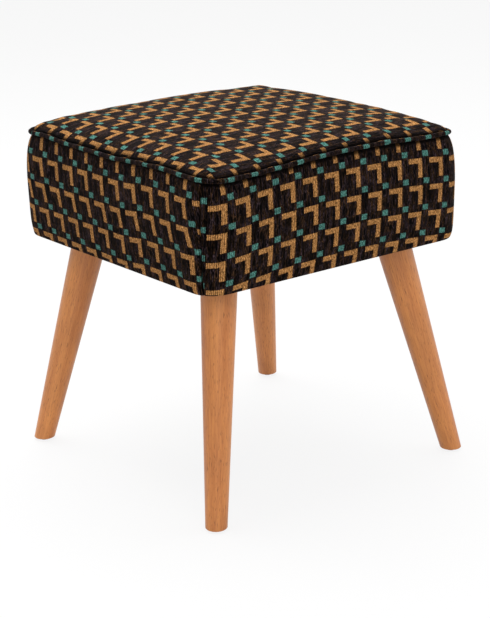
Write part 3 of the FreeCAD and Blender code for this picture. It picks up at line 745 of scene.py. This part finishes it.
def add_underside(points, weave_and_shade, faces, count):
    """Loops of faces from the rim of the grid inward and down to the deck."""
    last = count - 1
    rim = list(range(last)) + [row * count + last for row in range(last)]
    rim += [last * count + i for i in range(last, 0, -1)] + [row * count for row in range(last, 0, -1)]
    size = len(rim)
    before = rim
    for reach, above, level in UNDER_LOOPS:
        here = []
        for index in rim:
            x, y = points[index][:2]
            core_x, core_y = (min(max(value, -CORE), CORE) for value in (x, y))
            far = math.hypot(x - core_x, y - core_y)
            x, y = core_x + (x - core_x) * reach / far, core_y + (y - core_y) * reach / far
            height = TAIL_TOP + above + edge_lift(x, y) if level is None else level
            here.append(len(points))
            points.append((x, y, height))
            weave_and_shade.append(weave_and_shade[index])
        faces += [(before[i], here[i], here[(i + 1) % size], before[(i + 1) % size]) for i in range(size)]
        before = here


def cushion(material):
    """The foam with its crowned cover, open underneath for now; also its free points."""
    lines = top_lines()
    count = len(lines)
    rim_dents = [puckers(*RIM_DENTS) for _ in range(4)]
    crown = CROWN - CROWN_SWELL
    points, weave_and_shade, free = [], [], set()
    for row, line_y in enumerate(lines):
        for column, line_x in enumerate(lines):
            x, y, z = top_point(line_x, line_y, crown, rim_dents)
            points.append((x, y, z))
            # Painted shade along the rim, in the piping's shadow on the top.
            painted_shade = math.exp(-(inward_from_rim(x, y) / RIM_SHADE_RUN) ** 2)
            weave_and_shade.append((*top_cell(way_over_crown(x), way_over_crown(y)), painted_shade))
            if 0 < row < count - 1 and 0 < column < count - 1:
                free.add(len(points) - 1)
    faces = grid_faces(count, count)
    add_underside(points, weave_and_shade, faces, count)
    piece = new_piece("cushion_top", points, faces, material, weave_and_shade)
    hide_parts("cover_top", "seat_foam")
    return piece, free


# ------------------------ piping
# The pattern's repeat along the strip, and how far it is shifted on each side.
PIPING_CELL = 0.0345
PIPING_SHIFT = {"front": 0.027, "left": 0.0215, "right": 0.02, "back": 0.015}
SIDE_STEP, CORNER_STEP = 3 * MM, 2.5 * MM
STRIP_RADIUS, STRIP_DOWN = 0.0032, 0.015        # the pattern's radius on the tube, and its shift round it
BEAD_POINTS = 20
NECK = 10               # degrees on each side of the middle that the tail takes of the tube
TAIL_HALF = 0.55 * MM
# The strip's small waves along its run: number, lowest and highest rate in radians for each metre, and
# smallest and largest size in millimetres.
STRIP_WAVES = ((9, (60, 240), (0.04, 0.11)), (5, (300, 700), (0.03, 0.08)))
CORD_POINTS = 12
CORD_TWIST = 420        # radians for each metre
STRANDS = 3
STRAND_CORE, STRAND_BULGE = 0.86, 0.12  # shares of the cord's radius


def ring_places():
    """Sides and distances all the way round the seat, every place once."""
    places = []
    for side in ("front", "right", "back", "left"):
        straight = [(side, along) for along in spread(-CORE, CORE, SIDE_STEP)]
        corner = [(side, along) for along in spread(CORE, CORE + QUARTER, CORNER_STEP)[1:-1]]
        places += straight + corner
    return places


def ring(name, section, material, weave_and_shade=None):
    """A closed piece with the given section of reach and height, swept along the piping's line."""
    points, cells = [], []
    run = 0
    last = None
    places = ring_places()
    for side, along in places:
        here = Vector(placed(side, along, PIPING_REACH, 0))
        run += (here - last).length if last else 0
        last = here
        for corner, (reach, height) in enumerate(section(run)):
            points.append(placed(side, along, reach, PIPING_LEVEL + height + lift(side, along)))
            if weave_and_shade:
                cells.append(weave_and_shade(side, along, corner))
    size = len(points) // len(places)
    faces = grid_faces(len(places), size, around=True)
    close = (len(places) - 1) * size
    faces += [(close + i, close + (i + 1) % size, (i + 1) % size, i) for i in range(size)]
    return new_piece(name, points, faces, material, cells or None)


def bead_turn(corner):
    """The angle of a point of the tube, over its top from one side of the tail to the other."""
    return math.radians(180 - NECK) - math.radians(360 - 2 * NECK) * corner / (BEAD_POINTS - 1)


def strip_cell(side, along, corner):
    """The place in the pattern on the piping; past a corner it runs on into the next side's."""
    turn = bead_turn(corner - 1)
    place = (along + PIPING_SHIFT[side]) / PIPING_CELL
    if along > CORE:
        gap = (PIPING_SHIFT[NEXT[side]] - PIPING_SHIFT[side] - 2 * CORE - QUARTER) / PIPING_CELL
        place += (gap - round(gap)) * ((along - CORE) / QUARTER) ** 3
    # Painted shade on the tube towards its sewn tail, where it meets the panel and the top.
    painted_shade = between(abs(math.degrees(turn)), ((75, 0), (130, 0.8)))
    row = -turn * STRIP_RADIUS / CLOTH_PITCH + SQUARE_MIDDLE[1] + STRIP_DOWN
    return place + SQUARE_MIDDLE[0], row, painted_shade


def piping(material):
    """The fabric tube with its sewn tail; the strip is a little loose on its cord."""
    waves = [(random.uniform(*rates), random.uniform(0, 6), random.uniform(*sizes) * MM)
             for count, rates, sizes in STRIP_WAVES for _ in range(count)]

    def section(run):
        loose = sum(size * math.sin(run * rate + phase) for rate, phase, size in waves)
        radius = PIPING_RADIUS - 0.05 * MM + loose
        bead = [(PIPING_REACH + radius * math.cos(turn), radius * math.sin(turn))
                for turn in map(bead_turn, range(BEAD_POINTS))]
        return [(TAIL_REACH, TAIL_HALF)] + bead + [(TAIL_REACH, -TAIL_HALF)]

    tube = ring("piping_tube", section, material, strip_cell)
    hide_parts("piping")
    smooth(tube)


def inner_cord(material):
    """The cord inside the piping, of three twisted strands."""
    def section(run):
        outline = []
        for corner in range(CORD_POINTS):
            turn = 2 * math.pi * corner / CORD_POINTS
            strand = abs(math.cos(STRANDS / 2 * (turn + run * CORD_TWIST)))
            radius = CORD_RADIUS * (STRAND_CORE + STRAND_BULGE * strand)
            outline.append((PIPING_REACH + radius * math.cos(-turn), radius * math.sin(-turn)))
        return outline

    cord = ring("twisted_filler_cord", section, material)
    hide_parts("piping_cord")


# ------------------------ dust cover
SNAP_INSIDE, SNAP_OUTSIDE = 5.7 * MM, 1.2 * MM  # points this near to a hole's edge are moved to it
STAPLED_EDGE = 0.012
SAG = 2.2 * MM
SAG_RUN, HOLE_RUN = 0.03, 0.04          # how far from the staples and from a hole it sags in full
WRINKLES = 7
WRINKLE_RATES = (14, 42)
WRINKLE_SHARE = 0.9


def dust_cover(material):
    """A sheet of non-woven cloth, stapled at its edge, cut round the legs and sagging a little."""
    lines = spread(-DUST_HALF, DUST_HALF, CELL)
    count = len(lines)
    waves = [(random.uniform(*WRINKLE_RATES), random.uniform(*WRINKLE_RATES), random.uniform(0, 6))
             for _ in range(WRINKLES)]
    points, kept, snapped = [], [], []
    for line_y in lines:
        for line_x in lines:
            x, y = line_x, line_y
            leg_x, leg_y = math.copysign(LEG_TOP_REACH, x), math.copysign(LEG_TOP_REACH, y)
            far = math.hypot(x - leg_x, y - leg_y)
            snapped.append(DUST_HOLE - SNAP_INSIDE < far < DUST_HOLE + SNAP_OUTSIDE)
            kept.append(far >= DUST_HOLE or snapped[-1])
            if snapped[-1]:
                x, y = leg_x + (x - leg_x) * DUST_HOLE / far, leg_y + (y - leg_y) * DUST_HOLE / far
            room = min(1, (DUST_HALF - STAPLED_EDGE - max(abs(x), abs(y))) / SAG_RUN)
            room = max(0, room) * min(1, max(0, far - DUST_HOLE) / HOLE_RUN)
            wrinkle = sum(math.sin(a * x * 2 + b * y * 2 + c) for a, b, c in waves) / len(waves)
            points.append((x, y, DUST_LEVEL - SAG * room * (1 + WRINKLE_SHARE * wrinkle)))
    faces = [face for face in grid_faces(count, count)
             if all(kept[i] for i in face) and not all(snapped[i] for i in face)]
    used = sorted({index for face in faces for index in face})
    number = {index: place for place, index in enumerate(used)}
    faces = [tuple(number[i] for i in face) for face in faces]
    piece = new_piece("dust_sheet", [points[i] for i in used], faces, material)
    thick = piece.modifiers.new("thick", "SOLIDIFY")
    thick.thickness = 0.35 * MM
    thick.offset = 0
    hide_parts("dust_cover")


# ------------------------ CAD nodes that stay
GRAIN_START = (0.4, 0.7, 0.3)           # how far each leg's grain is moved, so that no two are alike


def paint(node, material):
    """Gives a CAD node a material and leaves its shape as it is."""
    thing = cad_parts[node]
    slots = thing.material_slots
    if not slots:
        thing.data.materials.append(material)
    for slot in slots:
        slot.material = material


def paint_nodes():
    for name, side_x, side_y in (("front_left", -1, -1), ("front_right", 1, -1),
                                 ("back_right", 1, 1), ("back_left", -1, 1)):
        axis = (side_x * LEG_SPLAY, side_y * LEG_SPLAY, -LEG_DROP)
        start = (GRAIN_START[0] * side_x, GRAIN_START[1] * side_y, GRAIN_START[2] * side_x * side_y)
        paint(f"{name}_leg", wood_material(f"stained_beech_{name}", axis, start, STAIN_TONES))
        paint(f"{name}_foot_pad", PLASTIC)
        paint(f"{name}_corner_block", PINE["up"])
    for name, way in (("front_rail", "x"), ("back_rail", "x"), ("left_rail", "y"), ("right_rail", "y"),
                      ("front_leg_batten", "x"), ("back_leg_batten", "x")):
        paint(name, PINE[way])
    paint("seat_deck", plywood_material())
    for name in ("frame_staples", "deck_staples", "cover_staples", "dust_cover_staples", "hanger_bolts",
                 "tee_nuts"):
        paint(name, STEEL)
    for name in ("seat_foam", "front_padding", "right_padding", "back_padding", "left_padding"):
        paint(name, FOAM)
    for name in ("cover_top", "cover_front", "cover_right", "cover_back", "cover_left", "piping"):
        paint(name, FABRIC)
    paint("piping_cord", COTTON)
    paint("dust_cover", NONWOVEN)


# ------------------------ camera, light and floor
VIEW_ANGLES = (-37.52, 17.76, -1.36)    # azimuth, elevation and roll, in degrees
VIEW_DISTANCE = 2.3454
VIEW_LENS = 1764.7                      # focal length in pixels
VIEW_HEIGHT, VIEW_SHIFT = 0.19173, 0.00463      # the point it looks at: over the floor and to the right
SENSOR_WIDTH = 36
# Name, place, size and watts.
LAMPS = (("key", (-1.3, -2.3, 1.9), 2.2, 27), ("fill", (2.4, -1.7, 1.3), 2.0, 16),
         ("overhead", (0.2, 0.8, 2.7), 2.4, 93))
LAMP_TARGET = (0, 0, 0.3)
WORLD_STRENGTH = 0.55
FLOOR_HALF = 12
FLOOR_WHITE = 0.86      # the share of plain white that the camera sees in the floor


def add_camera():
    """The camera that was fitted to the seat's corners, the legs' edges and the feet."""
    azimuth, elevation, roll = (math.radians(value) for value in VIEW_ANGLES)
    back = Vector((math.sin(azimuth) * math.cos(elevation), -math.cos(azimuth) * math.cos(elevation),
                   math.sin(elevation)))
    level = (-back).cross(Vector((0, 0, 1))).normalized()
    upright = level.cross(-back)
    right = level * math.cos(roll) + upright * math.sin(roll)
    up = upright * math.cos(roll) - level * math.sin(roll)
    target = Vector((0, 0, VIEW_HEIGHT)) + level * VIEW_SHIFT
    data = bpy.data.cameras.new("camera")
    data.sensor_fit = "HORIZONTAL"
    data.sensor_width = SENSOR_WIDTH
    data.lens = VIEW_LENS / PICTURE[0] * data.sensor_width
    camera = bpy.data.objects.new("camera", data)
    bpy.context.scene.collection.objects.link(camera)
    turn = Matrix((right, up, back)).transposed()
    camera.matrix_world = Matrix.Translation(target + back * VIEW_DISTANCE) @ turn.to_4x4()
    bpy.context.scene.camera = camera


def add_lamp(name, place, size, power):
    data = bpy.data.lights.new(name, "AREA")
    data.shape = "SQUARE"
    data.size = size
    data.energy = power
    lamp = bpy.data.objects.new(name, data)
    lamp.location = place
    lamp.rotation_euler = (Vector(place) - Vector(LAMP_TARGET)).to_track_quat("Z", "Y").to_euler()
    bpy.context.scene.collection.objects.link(lamp)


def white_for_camera(tree, shader_output, share):
    """Mixes plain white light into a surface, for rays from the camera, gloss and glass alone."""
    path = tree.nodes.new("ShaderNodeLightPath")
    seen = path.outputs["Is Camera Ray"]
    for ray in ("Is Glossy Ray", "Is Transmission Ray"):
        either = tree.nodes.new("ShaderNodeMath")
        either.operation = "MAXIMUM"
        tree.links.new(seen, either.inputs[0])
        tree.links.new(path.outputs[ray], either.inputs[1])
        seen = either.outputs[0]
    part = tree.nodes.new("ShaderNodeMath")
    part.operation = "MULTIPLY"
    tree.links.new(seen, part.inputs[0])
    part.inputs[1].default_value = share
    white = tree.nodes.new("ShaderNodeEmission" if shader_output.node.type != "BACKGROUND"
                           else "ShaderNodeBackground")
    white.inputs["Color"].default_value = (1, 1, 1, 1)
    white.inputs["Strength"].default_value = 1
    mix = tree.nodes.new("ShaderNodeMixShader")
    tree.links.new(part.outputs[0], mix.inputs[0])
    tree.links.new(shader_output, mix.inputs[1])
    tree.links.new(white.outputs[0], mix.inputs[2])
    return mix.outputs[0]


def add_stage():
    bpy.context.scene.view_settings.view_transform = "Standard"
    world = bpy.data.worlds.new("studio")
    bpy.context.scene.world = world
    world.use_nodes = True
    tree = world.node_tree
    soft = tree.nodes["Background"]
    soft.inputs["Color"].default_value = (1, 1, 1, 1)
    soft.inputs["Strength"].default_value = WORLD_STRENGTH
    tree.links.new(white_for_camera(tree, soft.outputs[0], 1), tree.nodes["World Output"].inputs[0])
    corners = [(x * FLOOR_HALF, y * FLOOR_HALF, 0) for x, y in ((-1, -1), (1, -1), (1, 1), (-1, 1))]
    floor = bpy.data.meshes.new("floor")
    floor.from_pydata(corners, [], [(0, 1, 2, 3)])
    stage = bpy.data.objects.new("floor", floor)
    bpy.context.scene.collection.objects.link(stage)
    shader = Shader("floor", Roughness=0.9)
    shader.finish(shader.ramp(shader.noise(3, 2), (0, 1), FLOOR_TONES))
    output = shader.tree.nodes["Material Output"]
    surface = white_for_camera(shader.tree, shader.surface.outputs[0], FLOOR_WHITE)
    shader.tree.links.new(surface, output.inputs["Surface"])
    floor.materials.append(shader.material)
    for lamp in LAMPS:
        add_lamp(*lamp)


# ------------------------ the scene
add_camera()
add_stage()
FABRIC = fabric_material()
PINE = {way: wood_material(f"pine_{way}", axis, (0.1, 0.2, 0), PINE_TONES, stretch=30, scale=260)
        for way, axis in (("x", (1, 0, 0)), ("y", (0, 1, 0)), ("up", (0, 0, 1)))}
STEEL, PLASTIC, COTTON, FOAM = steel_material(), plastic_material(), cotton_material(), foam_material()
NONWOVEN = nonwoven_material()
paint_nodes()

panels = [(*side_panel(side, FABRIC), PANEL_PRESSURE) for side in SIDES]
top = (*cushion(FABRIC), TOP_PRESSURE)
swell([*panels, top])
for panel in panels:
    smooth(panel[0])
smooth_and_close(top[0])
piping(FABRIC)
inner_cord(COTTON)
dust_cover(NONWOVEN)
